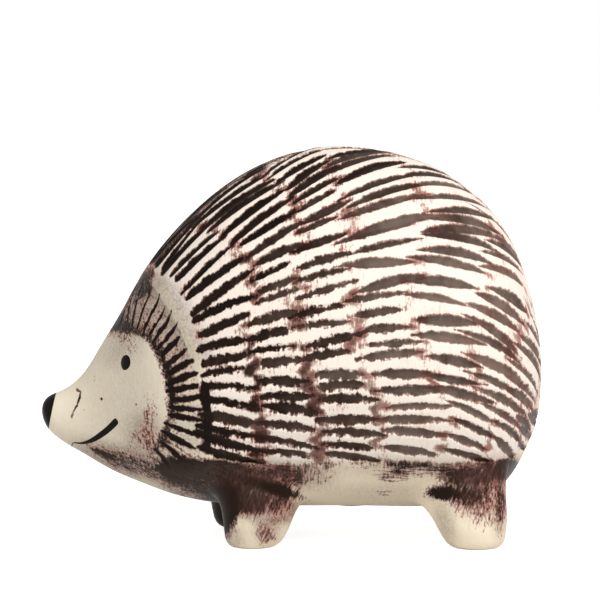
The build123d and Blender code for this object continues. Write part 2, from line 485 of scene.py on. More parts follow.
def heading_at(along, around, rise, limits):
    """Tangent on the skin that shows at a given rise in the photo.

    It is a turn off the meridian, in the plane of the skin's two slopes, and is held within the limits.
    """
    by_along, by_around = skin_slopes(along, around)
    by_along, by_around = unit(by_along), unit(by_around)
    tilt = np.array([[1, 0, 0], [0, math.sin(camera_elevation), math.cos(camera_elevation)]])
    seen = np.stack([tilt @ by_along, tilt @ by_around], axis=1)
    share = np.linalg.lstsq(seen, np.array([math.cos(rise), math.sin(rise)]), rcond=0.02)[0]
    turn = np.clip(math.atan2(share[1], abs(share[0])), *limits)
    return math.cos(turn) * by_along + math.sin(turn) * by_around


def mirrored(stroke):
    """The same stroke on the right side."""
    return stroke._replace(
        centre=stroke.centre * mirror_flip,
        heading=stroke.heading * mirror_flip,
        normal=stroke.normal * mirror_flip,
        bow=-stroke.bow,
    )


# How uneven the hand is. Ranges are shares of a stroke's own value, and the others are standard deviations.
uneven_length, uneven_width, uneven_gap = (0.92, 1.1), (0.76, 1.24), (0.8, 1.2)
uneven_skew, uneven_taper, uneven_tone = (0.8, 1.1), (0.85, 1.15), (0.88, 1.08)
uneven_around, uneven_rise_degrees, uneven_bow = 0.008, 2.8, 0.022

# The pixel columns over which strokes bend more and more
bow_grows = (360, 440)

# The lowest stroke's distance from the coat's edge, its added distance in every second row, and the distance
# that strokes keep from the ridge, in millimetres
lowest_stroke, row_offset, ridge_margin = 0.8, 2.4, 1.0


def run_of(line):
    """The length of a line of points up to each of them."""
    return np.concatenate([[0], np.cumsum(np.linalg.norm(np.diff(line, axis=0), axis=1))])


def turn_limits(from_ridge, length):
    """How far a stroke may turn off the meridian, down and up, in radians.

    Up, its end stays within half a millimetre of the ridge. Down, it hardly turns beside the ridge.
    """
    up = math.asin(min((from_ridge + 0.5) / (length / 2), 0.64))
    down = min(up, 0.08 + 0.6 * smooth_step(6.0, 16.0, from_ridge))
    return -down, up


def coat_strokes(side):
    """Strokes of one side: rows between the row edges, evenly spaced and jittered as by hand."""
    strokes = []
    for row in range(len(row_edges) - 1):
        first, last = row_edges[row], row_edges[row + 1]
        middle = (first + last) / 2
        run = run_of(skin(middle, levels))
        low = np.interp(-0.4, levels, middle)
        place = np.interp(coat_floor(low), levels, run) + lowest_stroke + row_offset * (row % 2)
        while place < run[-1] - ridge_margin:
            around = np.interp(place, run, levels)
            start, end = np.interp(around, levels, first), np.interp(around, levels, last)
            px, py = photo_pixels(skin((start + end) / 2, around))
            width, gap, _, _, _, _, stray, share, taper = spread(coat_marks, px, py, mark_reach)
            shift = rng.uniform(-1, 1) * stray * (row > 0)
            start += shift + rng.uniform(-0.5, 0.5) * stray * (row > 0)
            end += shift + rng.uniform(-0.5, 0.5) * stray
            along = np.array((start + end) / 2)
            around = np.array(around + rng.normal(0, uneven_around))
            rise = float(spread(stroke_rise, px, py, rise_reach)[0]) + rng.normal(0, uneven_rise_degrees)
            ends = skin(np.array([start, end]), np.array([around, around]))
            skew = rng.uniform(*uneven_skew)
            length = np.linalg.norm(ends[1] - ends[0]) * share * (1 + 0.12 * taper)
            length *= rng.uniform(*uneven_length)
            limits = turn_limits(run[-1] - place, length)
            stroke = Stroke(
                centre=skin(along, around),
                heading=heading_at(along, around, math.radians(rise), limits),
                normal=skin_normal(along, around),
                length=length,
                width=(width + 0.4 * taper) * rng.uniform(*uneven_width),
                depth=stroke_depth,
                bow=0.03 + 0.02 * smooth_step(*bow_grows, px) + rng.normal(0, uneven_bow),
                skew=skew - 0.3 * (row == 0),
                taper=taper * rng.uniform(*uneven_taper),
                tone=rng.uniform(*uneven_tone),
            )
            strokes.append(stroke if side < 0 else mirrored(stroke))
            place += gap * rng.uniform(*uneven_gap)
    return strokes


# The ruff: cuts that fan out from a pixel on the cheek, from the edge of the face to the hood edge.
# Each row is the fan's angle in degrees, the two ends in photo pixels from the cheek, the width and the gap
# in mm, and how much slip lies along the edge of the face. The cuts fill the fan between two angles.
cheek_pixel = (112.0, 405.0)
first_cut_angle, last_cut_angle = -47.0, 86.0
cut_depth_share = 0.22
# How uneven the ruff is: its cuts' two ends in pixels, and their width, gap, tone and bend as shares
uneven_near, uneven_far = (-2, 3), (-5, 1)
uneven_cut_width, uneven_cut_gap = (0.8, 1.2), (0.86, 1.14)
uneven_cut_tone, uneven_cut_bow = (0.9, 1.1), 0.03
ruff_fan = np.array([
    # angle, near, far, width, gap, slip on the edge
    (-64, 60, 84, 1.6, 3.7, 0.2),
    (-50, 60, 88, 2.0, 3.8, 0.4),
    (-36, 58, 91, 2.2, 3.7, 0.6),
    (-20, 56, 91, 2.0, 3.4, 0.9),
    (0, 56, 91, 2.0, 3.3, 1.1),
    (20, 58, 92, 2.1, 3.3, 1.1),
    (35, 62, 96, 2.1, 3.2, 1.0),
    (48, 67, 103, 1.8, 2.8, 0.9),
    (60, 73, 114, 1.6, 2.7, 0.7),
    (75, 75, 128, 1.4, 2.4, 0.4),
    (90, 74, 136, 1.2, 2.2, 0.1),
    (110, 74, 140, 1.0, 2.0, 0.1),
])


def fan_values(angle):
    """The ruff's table at angles in degrees."""
    return [np.interp(angle, ruff_fan[:, 0], column) for column in ruff_fan[:, 1:].T]


def ruff_strokes(side):
    """Cuts of the ruff on one side, from the throat round the cheek to the top of the head."""
    strokes = []
    angle = first_cut_angle
    while angle < last_cut_angle:
        near, far, width, gap, _ = fan_values(angle)
        near += rng.uniform(*uneven_near)
        far += rng.uniform(*uneven_far) + (3 if angle < 10 else 0)
        turn = math.radians(angle)
        away = np.array([math.cos(turn), -math.sin(turn)])
        spots = on_skin([np.array(cheek_pixel) + radius * away for radius in (near, far)])
        start, end = skin(spots[:, 0], spots[:, 1])
        middle = spots.mean(axis=0)
        stroke = Stroke(
            centre=skin(middle[0], middle[1]),
            heading=unit(end - start),
            normal=skin_normal(middle[0], middle[1]),
            length=np.linalg.norm(end - start) * 1.05,
            width=width * rng.uniform(*uneven_cut_width),
            depth=cut_depth_share * width,
            bow=rng.normal(0, uneven_cut_bow),
            skew=rng.uniform(*uneven_skew),
            taper=0.5,
            tone=rng.uniform(*uneven_cut_tone),
        )
        strokes.append(stroke if side < 0 else mirrored(stroke))
        angle += math.degrees(gap / mm_per_pixel / ((near + far) / 2)) * rng.uniform(*uneven_cut_gap)
    return strokes


# A short crease beside the nostril, and small dark specks on the face: pixels, and widths in mm
nostril_pixels = [(76.0, 389.8), (79.4, 392.6), (78.7, 398.5), (76.4, 405.7), (73.6, 411.4), (70.7, 416.6)]
nostril_widths = (0.75, 0.6, 0.5, 0.4, 0.28)
speck_pixels = [(101.0, 399.3), (93.9, 376.4), (84.3, 410.0), (135.5, 404.5), (93.5, 381.0)]
speck_widths = (0.8, 0.4, 0.3, 0.4, 0.3)


def small_stroke(start, end, spot, width):
    """A fine, shallow cut from start to end over a spot of the skin."""
    return Stroke(
        centre=skin(spot[0], spot[1]),
        heading=unit(end - start),
        normal=skin_normal(spot[0], spot[1]),
        length=np.linalg.norm(end - start),
        width=width,
        depth=0.25 * width,
        bow=0.0,
        skew=1.0,
        taper=0.5,
        tone=1.0,
    )


def face_marks(side):
    """The crease beside the nostril as a chain of fine cuts, and the specks of the face."""
    spots = on_skin(nostril_pixels)
    points = skin(spots[:, 0], spots[:, 1])
    strokes = []
    for i, width in enumerate(nostril_widths):
        overlap = (points[i + 1] - points[i]) * 0.25
        middle = spots[i : i + 2].mean(axis=0)
        strokes.append(small_stroke(points[i] - overlap, points[i + 1] + overlap, middle, width))
    for spot, width in zip(on_skin(speck_pixels), speck_widths):
        point = skin(spot[0], spot[1])
        up = unit(skin_slopes(spot[0], spot[1])[1]) * width / 2
        strokes.append(small_stroke(point - up, point + up, spot, width))
    return strokes if side < 0 else [mirrored(stroke) for stroke in strokes]


cuts = [cut for side in (-1, 1) for cut in coat_strokes(side) + ruff_strokes(side) + face_marks(side)]

# Brushed slip outside the coat, and painted shade where the legs meet the belly and on the far front leg:
# pixel, half sizes in pixels, turn in degrees, and how dark
slip_and_shade_patches = [
    (212, 483, 42, 22, 0, 1.1),
    (198, 468, 34, 9, 4, 1.0),
    (245, 470, 44, 9, 0, 0.5),
    (278, 477, 25, 15, 0, 0.85),
    # painted shade: the dark crease where the near front leg meets the belly
    (268, 487, 34, 5.5, 18, 1.1),
    (299, 484, 4, 16, 0, 0.35),
    # the far front leg, partly dark slip and partly painted shade
    (224, 511, 16, 28, 12, 1.4),
    (252, 499, 24, 13, 0, 0.85),
    (272, 506, 20, 14, 0, 0.35),
    (283, 508, 14, 14, -20, 0.55),
    (254, 513, 14, 12, 0, 0.6),
    (265, 534, 13, 12, 0, 0.8),
    (478, 470, 42, 12, -3, 0.78),
    (462, 478, 22, 8, 0, 0.3),
    # the dark wedge where the near hind leg meets the belly, partly dark slip and partly painted shade
    (440, 494, 14, 7, 4, 1.3),
    (464, 491, 24, 17, 0, 0.62),
    (482, 504, 26, 26, 0, 0.62),
    (502, 504, 6, 36, 0, 0.5),
    (498, 476, 17, 13, 0, 0.4),
    (378, 460, 84, 8, 0, 0.56),
    (317, 474, 22, 15, 0, 0.5),
    (396, 477, 20, 7, 0, 0.5),
    (512, 467, 10, 12, -40, 0.7),
    (415, 468, 32, 9, 0, 0.6),
    (385, 492, 10, 7, 0, 0.3),
    (126, 463, 42, 12, 18, 0.86),
    (177, 470, 16, 12, 22, 0.95),
    (100, 453, 14, 2.5, 26, 0.6),
    (143, 441, 20, 14, 0, 0.58),
    (149, 412, 9, 19, 0, 0.48),
    (118, 326, 13, 32, -28, 0.52),
    (150, 280, 22, 10, -50, 0.5),
    (152, 269, 12, 8, -50, 0.5),
]
# More slip on the coat, written the same way: the dark edge along the upper back
coat_slip_patches = [
    (160, 252, 26, 6, -48, 0.85),
    (187, 222, 26, 7, -44, 0.85),
    (216, 192, 26, 7, -40, 0.8),
    (250, 171, 28, 6, -26, 0.65),
    (288, 157, 22, 5, -14, 0.45),
]
# Red iron stain in the slip, written the same way
rust_patches = [
    (280, 511, 20, 18, 0, 0.9),
    (276, 474, 26, 10, 0, 0.7),
    (265, 535, 14, 12, 0, 0.8),
    (155, 272, 16, 12, -50, 0.8),
    (247, 514, 12, 13, 0, 0.7),
    (148, 418, 14, 34, 0, 0.5),
    (142, 441, 20, 14, 0, 0.45),
    (190, 372, 14, 14, 0, 0.6),
    (482, 500, 30, 34, 0, 0.7),
    (505, 510, 8, 40, 0, 0.8),
    (187, 222, 60, 12, -44, 0.7),
    (330, 210, 60, 50, 0, 0.3),
    (512, 330, 22, 100, 0, 0.5),
    (440, 210, 60, 24, 0, 0.3),
    (240, 430, 60, 30, 0, 0.4),
    (110, 458, 50, 14, 20, 0.35),
    (128, 312, 26, 50, -28, 0.3),
    (245, 500, 40, 16, 0, 0.5),
    (250, 478, 60, 14, 0, 0.6),
    (480, 471, 42, 13, 0, 0.7),
]
# Thin even wash that greys the clay, and painted shade on the hind leg's slope towards the snout, written
# the same way
wash_and_shade_patches = [
    (120, 322, 20, 38, -28, 0.42),
    (150, 277, 24, 16, -45, 0.3),
    (112, 356, 14, 14, 0, 0.22),
    (122, 400, 40, 52, 0, 0.22),
    (124, 462, 54, 14, 18, 0.85),
    (144, 436, 20, 24, 0, 0.5),
    (175, 486, 24, 8, 24, 0.3),
    (282, 510, 19, 16, -20, 1.0),
    (254, 503, 24, 16, 0, 0.85),
    (266, 477, 38, 15, 0, 1.2),
    (316, 474, 24, 15, 0, 0.4),
    (232, 540, 14, 14, 0, 0.4),
    (262, 515, 22, 12, 0, 0.4),
    (266, 534, 14, 12, 0, 0.6),
    (482, 488, 32, 28, 0, 1.0),
    (500, 516, 8, 22, 0, 0.5),
    (512, 466, 12, 12, 0, 0.6),
    (400, 468, 60, 12, 0, 0.35),
    (386, 494, 70, 12, 0, 0.3),
    # painted shade: the near hind leg's slope towards the snout, darker where it turns from the light
    (446, 525, 10, 26, -12, 0.4),
]
# Where the slip lies thin and brown, written the same way. Minus keeps dark the painted shade, in part dark
# slip, in the creases over the legs and on the far front leg.
soft_patches = [
    (266, 476, 44, 14, 0, 1.0),
    (264, 505, 32, 20, 0, 0.8),
    (478, 474, 44, 13, 0, 0.8),
    (484, 500, 28, 28, 0, 0.8),
    (266, 534, 18, 14, 0, 0.6),
    (212, 478, 44, 20, 0, 0.5),
    # painted shade kept dark: the creases over the legs and the far front leg
    (268, 487, 36, 6, 18, -1.0),
    (440, 494, 15, 8, 4, -1.0),
    (222, 512, 13, 28, 12, -1.0),
    (380, 459, 84, 8, 0, 0.6),
    (122, 462, 54, 14, 18, 0.3),
    (144, 434, 22, 30, 0, 0.25),
    (126, 310, 20, 50, -28, 0.3),
]
# Where slip off the coat is drawn upright, as on the coat, and not along the brush
upright_patches = [
    (318, 472, 22, 18, 0, 1.2),
    (378, 458, 90, 9, 0, 1.2),
    (142, 430, 22, 26, 0, 0.9),
]


def patches(table, px, py):
    """Sum of soft ellipses in the photo's frame, each near its darkness inside and fading over its rim."""
    total = np.zeros(np.shape(px))
    for x, y, wide, high, turn, dark in table:
        turn = math.radians(turn)
        along = (px - x) * math.cos(turn) + (py - y) * math.sin(turn)
        across = (py - y) * math.cos(turn) - (px - x) * math.sin(turn)
        total += dark * np.exp(-(((along / wide) ** 2 + (across / high) ** 2) ** 1.5))
    return total


# The fields of the slip that the materials read, and what they are on bare clay, far from every cut
bare_clay = {
    "film": 0.0, "rust": 0.0, "coat": 0.0, "upright": 0.0, "wash": 0.0, "soft": 0.0, "dark": 1.0,
    "wander": 0.0, "inside_mm": far_outside,
}
edge_wander = 0.3


def slip_fields(count, **given):
    """The fields of the slip on a piece's points: bare clay but for those that are given."""
    return {key: np.broadcast_to(given.get(key, bare), count) for key, bare in bare_clay.items()}


# The hood edge's rim, and the trough in front of it: height, place behind the neck edge and breadth, in mm
hood_rim, hood_trough = (0.7, -0.2, 2.2), (-0.45, -4.6, 2.4)
# The greyed band along them, written the same way, with its strength in the place of a height
hood_grey = (1.0, 1.4, 3.6)
# The pixel rows over which the relief and the grey fade in and out
hood_rows = (272, 300), (340, 385)
grey_rows = (264, 290), (345, 385)


def fold(behind, height, place, wide):
    """The height of a bell-shaped fold along the neck edge."""
    return height * np.exp(-(((behind - place) / wide) ** 2))


def hood_relief(points):
    """A soft raised rim along the upper hood edge and a shallow trough in front of it, in millimetres."""
    behind = behind_neck(points)
    _, py = photo_pixels(points)
    return (fold(behind, *hood_rim) + fold(behind, *hood_trough)) * between(*hood_rows, py)


# The dark groove: its depth, half its width and how far it lies ahead of the neck edge, in millimetres, the
# distances inside it over which its wall drops, and the pixel rows over which it opens and closes
groove_depth, groove_half_width, groove_ahead = 0.6, 1.5, 0.3
groove_wall = (-0.4, 0.6)
groove_rows = (368, 390), (446, 458)


def neck_groove(points):
    """Distance inside the dark groove that closes the lower part of the hood edge, in millimetres."""
    _, py = photo_pixels(points)
    open_part = between(*groove_rows, py)
    from_middle = np.abs(behind_neck(points) + groove_ahead)
    return groove_half_width * open_part - from_middle - 2.0 * (1 - open_part)


# The smears at the rows' ends waver along each row edge: where they lie and how strong they are
waver_rates = np.array([13.0, 29.0, 53.0])
waver_starts = np.random.default_rng(11).uniform(0, 2 * np.pi, (len(row_edges) - 1, 2, len(waver_rates)))
waver_size, smear_breadth = 2.0, 2.3


def waver(starts, around):
    """A smooth random wave about zero, mostly within 1: the sum of three sines."""
    return np.sin(around[..., None] * waver_rates + starts).sum(axis=-1) / 1.6


def row_smears(along, side):
    """How near a point is to a row edge, from 0 to 1, with the edges wavering as by hand.

    The hood edge, which is the first, and the last one, close round the tail end, have no smears.
    """
    smear = np.zeros(np.shape(along))
    for edge, (place_start, strength_start) in zip(row_edges[1:-1], waver_starts):
        off = along - np.interp(side, levels, edge) - waver_size * waver(place_start, side)
        bell = np.exp(-((off / smear_breadth) ** 2)) * (0.8 + 0.5 * waver(strength_start, side))
        smear = np.maximum(smear, bell)
    return smear


# How the ruff's slip fades: over angles of the fan in degrees, over pixels from the near and far ends of its
# cuts, and over millimetres from the hood edge. Then where the ring lies and its breadth, in pixels.
throat_fade, lower_fade, brow_fade = (-66, -48), (50, 15), (62, 82)
near_fade, far_fade, hood_fade = (-4, 4), (-2, 6), (-0.6, -2.4)
ring_place, ring_breadth = 3, 5.5


def ruff_slip(px, py, behind, coat):
    """Film and wash in the ruff: a fan over its cuts, and a thicker ring along the edge of the face."""
    radius = np.hypot(px - cheek_pixel[0], py - cheek_pixel[1])
    angle = np.degrees(np.arctan2(cheek_pixel[1] - py, px - cheek_pixel[0]))
    near, far, _, _, edge_slip = fan_values(np.clip(angle, ruff_fan[0, 0], ruff_fan[-1, 0]))
    above_throat = smooth_step(*throat_fade, angle)
    lower_ruff = smooth_step(*lower_fade, angle)
    brow = smooth_step(*brow_fade, angle)
    past_cuts = smooth_step(*far_fade, radius - far)
    fan = above_throat * smooth_step(*near_fade, radius - near) * smooth_step(*hood_fade, behind)
    ring = edge_slip * np.exp(-(((radius - near - ring_place) / ring_breadth) ** 2)) * above_throat
    film = fan * (0.42 - 0.14 * lower_ruff + 0.2 * brow) * (1 - 0.5 * past_cuts) + 0.75 * ring * (1 - coat)
    wash = fan * (0.72 - 0.5 * lower_ruff) * (1 - 0.3 * past_cuts)
    return film, wash


def hood_band(behind, py):
    """How much a point lies in the greyed band behind the upper hood edge, from 0 to 1."""
    return fold(behind, *hood_grey) * between(*grey_rows, py)


# Where the coat sets in: radians above its lower edge, and millimetres behind the hood edge
coat_low_fade, coat_front_fade = (-0.05, 0.02), (0.6, 2.0)


def skin_fields(smooth, around, along, tone, thin_end):
    """How the slip lies on the carved skin, from each point's place on the smooth skin and in the photo."""
    px, py = photo_pixels(smooth)
    behind = behind_neck(smooth)
    side = np.where(around > quarter, np.pi - around, around)
    marks = np.moveaxis(spread(coat_marks, px, py, mark_reach), -1, 0)
    _, _, dark, wander, on_ridges, at_ends, _, _, _ = marks
    above_edge = side - coat_floor(along)
    coat = smooth_step(*coat_low_fade, above_edge) * smooth_step(*coat_front_fade, behind)
    row_end = row_smears(along, side)
    coat_film = 0.5 * on_ridges + row_end * at_ends * 0.95 + thin_end * (0.26 + 0.25 * at_ends)
    coat_film = coat_film + patches(coat_slip_patches, px, py)
    ruff_film, ruff_wash = ruff_slip(px, py, behind, coat)
    rust = patches(rust_patches, px, py) + coat * (row_end * 0.4 + thin_end * 0.6)
    wash = patches(wash_and_shade_patches, px, py) + np.maximum(ruff_wash, 0.58 * hood_band(behind, py))
    return slip_fields(
        len(smooth),
        film=coat * coat_film + (1 - coat) * (patches(slip_and_shade_patches, px, py) + ruff_film),
        rust=np.clip(rust, 0, 1),
        coat=coat,
        upright=np.clip(coat + patches(upright_patches, px, py), 0, 1),
        wash=np.clip(wash, 0, 1),
        soft=np.clip(patches(soft_patches, px, py), 0, 1) * (1 - coat),
        dark=(coat * dark + (1 - coat)) * tone,
        wander=coat * wander + (1 - coat) * edge_wander,
    )


# The skin's grid: rows from edge to edge, and columns that are close together in the coat, above an angle
skin_rows = 200
belly_column_count, coat_column_count = 60, 430
dense_from = -0.62
# How far the last row stays from the tail end, and the power that crowds the head's rows towards the neck
tail_margin = 0.05
head_row_power = 0.85


def skin_columns(side):
    """Angles around for one side of the skin, from the belly line to the back."""
    belly_part = np.linspace(-quarter, dense_from, belly_column_count)[:-1]
    coat_part = np.linspace(dense_from, quarter, coat_column_count)
    around = np.concatenate([belly_part, coat_part])
    return around if side < 0 else np.pi - around[::-1]


def neck_along(around):
    """The along of the neck edge, for each angle around."""
    return crossing(behind_neck, around, 5.0, reach * 0.6)


def nose_along(around):
    """The along of the black nose's edge, for each angle around."""
    return crossing(behind_nose, around, 0.01, 12.0)


def dressed_grid(along, around):
    """Points of the carved skin on a grid, and the fields of the slip on them.

    Each point of the smooth skin moves along its normal by the depth of the cuts and the neck groove and by
    the hood's relief. Inside the vent's hole it moves up, into the wall.
    """
    around = np.broadcast_to(around, along.shape)
    smooth = skin(along, around).reshape(-1, 3)
    normal = skin_normal(along, around).reshape(-1, 3)
    height, inside, tone, thin_end = carve(smooth, normal, cuts)
    groove = neck_groove(smooth)
    height = np.minimum(height, -groove_depth * smooth_step(*groove_wall, groove)) + hood_relief(smooth)
    values = skin_fields(smooth, around.ravel(), along.ravel(), tone, thin_end)
    values["inside_mm"] = np.maximum(inside, groove)
    from_vent = np.hypot(smooth[:, 0] - vent_along, smooth[:, 1])
    points = smooth + normal * height[:, None]
    sunk = vent_depth * (1 - smooth_step(*vent_drop, from_vent))
    points[:, 2] += np.where(smooth[:, 2] < vent_reach, sunk, 0)
    return points, values


def shell_half(name, side):
    """One half of the body's skin, from the neck edge to the tail end, where a fan closes it."""
    around = skin_columns(side)
    neck = neck_along(around)
    along = neck + (reach - tail_margin - neck) * np.linspace(0, 1, skin_rows)[:, None]
    points, values = dressed_grid(along, around)
    columns = len(around)
    last_row = len(points) - columns + np.arange(columns)
    points = np.vstack([points, [tail_end[0], 0.0, tail_end[1]]])
    values = {key: np.append(value, value[-columns // 2]) for key, value in values.items()}
    face_sets = [grid_faces(*along.shape, False), cap_faces(len(points) - 1, last_row, True)]
    return make_piece(name, points, face_sets, "body_shell", values)


def head_piece():
    """The head's skin between the nose and the neck edge, on every second column of the body's."""
    around = np.concatenate([skin_columns(-1)[:-1], skin_columns(1)[:-1]])[::2]
    front, neck = nose_along(around), neck_along(around)
    along = front + (neck - front) * np.linspace(0, 1, skin_rows)[:, None] ** head_row_power
    points, values = dressed_grid(along, around)
    faces = grid_faces(*along.shape, True)
    return make_piece("head_skin", points, [faces], "head_shell", values)


nose_rows, nose_turns = 30, 96
# How far the nose stands proud and runs on over the face, in millimetres, and where its first row lies
nose_lift, nose_overlap, nose_first_share = 0.08, 0.05, 0.04


def nose_piece():
    """The black nose: the skin in front of its plane, a little proud, closed at the snout's end point."""
    around = np.linspace(-quarter, 3 * quarter, nose_turns, endpoint=False)
    along = (nose_along(around) + nose_overlap) * np.linspace(nose_first_share, 1, nose_rows)[:, None]
    around = np.broadcast_to(around, along.shape)
    smooth = skin(along, around).reshape(-1, 3)
    points = smooth + skin_normal(along, around).reshape(-1, 3) * nose_lift
    tip = skin(np.array(1e-3), np.array(0.0)) - np.array([nose_lift, 0, 0])
    points = np.vstack([points, tip])
    face_sets = [grid_faces(*along.shape, True), cap_faces(len(points) - 1, loop_of(nose_turns), False)]
    return make_piece("nose_cap", points, face_sets, "nose_tip")


# Legs. Rings from the sole up to where the flare begins: height, radius along, radius across
leg_rings = np.array([
    (0.0, 5.7, 5.3), (0.2, 6.6, 6.1), (0.7, 7.6, 7.0), (1.6, 8.5, 7.8), (3.2, 9.4, 8.5), (5.4, 10.1, 9.0),
])
leg_turns, flare_ring_count = 120, 39

# How deep the flare's upper edge is sunk into the skin, in millimetres, and how full its curve is there
flare_sunk, flare_fullness = 0.06, 1.1

# Each leg, in millimetres along and out from the middle plane: its side, the centres of its foot and of its
# flare, the flare's radii towards the snout, the tail, the outside and the inside, its lean, the share that
# widens its rings, how upright its rear meets the skin, and the extra dark on its inner side, which shows on
# the
# far front leg: partly dark slip and partly painted shade
Leg = namedtuple("Leg", "side foot flare flare_sizes lean girth upright_rear dipped")
leg_shapes = {
    "leg_front_left": Leg(-1, (-12.2, 22.1), (-10.6, 22.0), (17, 18, 13, 13), 0.2, 1.0, 0.0, 0.0),
    "leg_front_right": Leg(1, (-16.3, 22.1), (-15.6, 22.0), (17, 18, 12, 13), 0.1, 1.0, 0.0, 1.5),
    "leg_hind_left": Leg(-1, (58.4, 24.0), (53.0, 23.0), (18, 15.8, 11, 13), -0.2, 1.05, 0.5, 0.0),
    "leg_hind_right": Leg(1, (57.5, 24.0), (52.0, 23.0), (18, 15.8, 11, 13), -0.2, 1.05, 0.5, 0.0),
}


def slope_shares(by_along, by_around, level):
    """How much of each of the skin's slopes adds up to level steps (x, y), by Cramer's rule."""
    area = by_along[:, 0] * by_around[:, 1] - by_along[:, 1] * by_around[:, 0]
    of_along = (level[:, 0] * by_around[:, 1] - level[:, 1] * by_around[:, 0]) / area
    of_around = (by_along[:, 0] * level[:, 1] - by_along[:, 1] * level[:, 0]) / area
    return of_along, of_around


# How many of Newton's steps find a place on the skin, and how much of each is taken
newton_steps, newton_share = 6, 0.7


def settle(targets):
    """The skin's along and around, on its lower half, over level places (x, y), by Newton's steps."""
    near_along, near_around = np.meshgrid(
        np.linspace(5, reach - 3, 160), np.linspace(-quarter, 0, 90), indexing="ij"
    )
    near = skin(near_along, near_around).reshape(-1, 3)
    away = (near[:, 0] - targets[:, 0:1]) ** 2 + (near[:, 1] - targets[:, 1:2]) ** 2
    best = away.argmin(axis=1)
    along, around = near_along.flat[best], near_around.flat[best]
    for _ in range(newton_steps):
        miss = targets - skin(along, around)[:, :2]
        of_along, of_around = slope_shares(*skin_slopes(along, around), miss)
        along = along + newton_share * of_along
        around = np.clip(around + newton_share * of_around, -quarter, -0.02)
    return along, around


def leg_foot(leg, level):
    """The leg's lower rings: ovals over the foot's centre that lean with their height."""
    height, radius_along, radius_across = leg_rings.T[:, :, None]
    x = leg.foot[0] + leg.lean * height + radius_along * leg.girth * level[:, 0]
    y = -leg.foot[1] + radius_across * leg.girth * level[:, 1]
    return np.stack([x, y, np.broadcast_to(height, x.shape)], axis=-1)


def leg_seat(leg, level):
    """The flare's ring, sunk a hair into the skin, and the direction in which each curve runs out there.

    The ring is an oval with its own radius each way. The direction is the skin's slope away from its centre,
    turned upright at the rear.
    """
    snout_size, tail_size, outer_size, inner_size = leg.flare_sizes
    spokes = np.column_stack([
        np.where(level[:, 0] < 0, snout_size, tail_size) * level[:, 0],
        np.where(level[:, 1] < 0, outer_size, inner_size) * level[:, 1],
    ])
    along, around = settle(np.array([leg.flare[0], -leg.flare[1]]) + spokes)
    by_along, by_around = skin_slopes(along, around)
    of_along, of_around = slope_shares(by_along, by_around, unit(spokes))
    leave = unit(of_along[:, None] * by_along + of_around[:, None] * by_around)
    rear = leg.upright_rear * np.clip(level[:, :1], 0, 1)
    ring = skin(along, around) - skin_normal(along, around) * flare_sunk
    return ring, unit(leave * (1 - rear) + np.array([0, 0, 1]) * rear)


# Where the extra dark on a leg, partly slip and partly painted shade, sets in: millimetres from its middle
# outwards, and above the table
dark_side_fade, dark_rise_fade = (1.0, -4.0), (-0.5, 1.5)


def leg_piece(node, leg):
    """A stub leg that flares into the belly.

    Rings rise from the flat sole. From the last one, cubic curves with given end directions rise to a ring
    on the skin: each goes on from the rings below and ends along the skin, so that no upper edge shows.
    """
    turn = np.linspace(0, 2 * np.pi, leg_turns, endpoint=False)
    level = np.stack([np.cos(turn), np.sin(turn)], axis=1)
    lower = leg_foot(leg, level)
    top, leave = leg_seat(leg, level)
    start, rise = lower[-1], unit(lower[-1] - lower[-2])
    span = np.linalg.norm(top - start, axis=1)[:, None]
    t = np.linspace(0, 1, flare_ring_count + 1)[1:, None, None]
    upper = (
        (2 * t**3 - 3 * t**2 + 1) * start
        + (t**3 - 2 * t**2 + t) * rise * span
        + (3 * t**2 - 2 * t**3) * top
        + (t**3 - t**2) * leave * span * flare_fullness
    )
    rings = np.concatenate([lower, upper])
    points = np.vstack([rings.reshape(-1, 3), [leg.foot[0], -leg.foot[1], 0.0]])
    faces = grid_faces(len(rings), leg_turns, True, flip=True)
    sole = cap_faces(len(points) - 1, loop_of(leg_turns), True)
    if leg.side > 0:
        points = points * mirror_flip
        faces, sole = faces[:, ::-1], sole[:, ::-1]
    px, py = photo_pixels(points)
    inner = smooth_step(*dark_side_fade, np.abs(points[:, 1]) - leg.foot[1])
    values = slip_fields(
        len(points),
        film=patches(slip_and_shade_patches, px, py) + leg.dipped * smooth_step(*dark_rise_fade, points[:, 2]) * inner,
        rust=np.clip(patches(rust_patches, px, py), 0, 1),
        wash=np.clip(patches(wash_and_shade_patches, px, py), 0, 1),
        soft=np.clip(patches(soft_patches, px, py), 0, 1),
        wander=edge_wander,
    )
    return make_piece(f"{node}_flared", points, [faces, sole], node, values)


# Smile: pixels from the cheek to the chin and the line's width in millimetres at each
smile_pixels = np.array([
    (116.8, 420.4, 2.2), (113.5, 423.6, 2.25), (107.9, 428.8, 2.1), (99.3, 435.7, 1.9), (92.1, 440.3, 1.55),
    (85.0, 442.9, 1.1), (77.9, 443.8, 0.7), (71.4, 442.3, 0.3),
])
# Its width under the chin, how high it is crowned, how deep its edges are sunk and how long its rounded ends
# are, in millimetres
chin_width, smile_crown, smile_sunk, smile_end = 0.12, 0.2, 0.03, 0.9
chin_along_share = 0.93
smile_rows, smile_columns, eased_rows = 260, 9, 25


def eased(values):
    """Values along the smile with their corners rounded off by a sliding bell-shaped mean."""
    bell = np.hanning(eased_rows)
    padded = np.pad(values, eased_rows // 2, mode="reflect", reflect_type="odd")
    return np.convolve(padded, bell / bell.sum(), mode="valid")


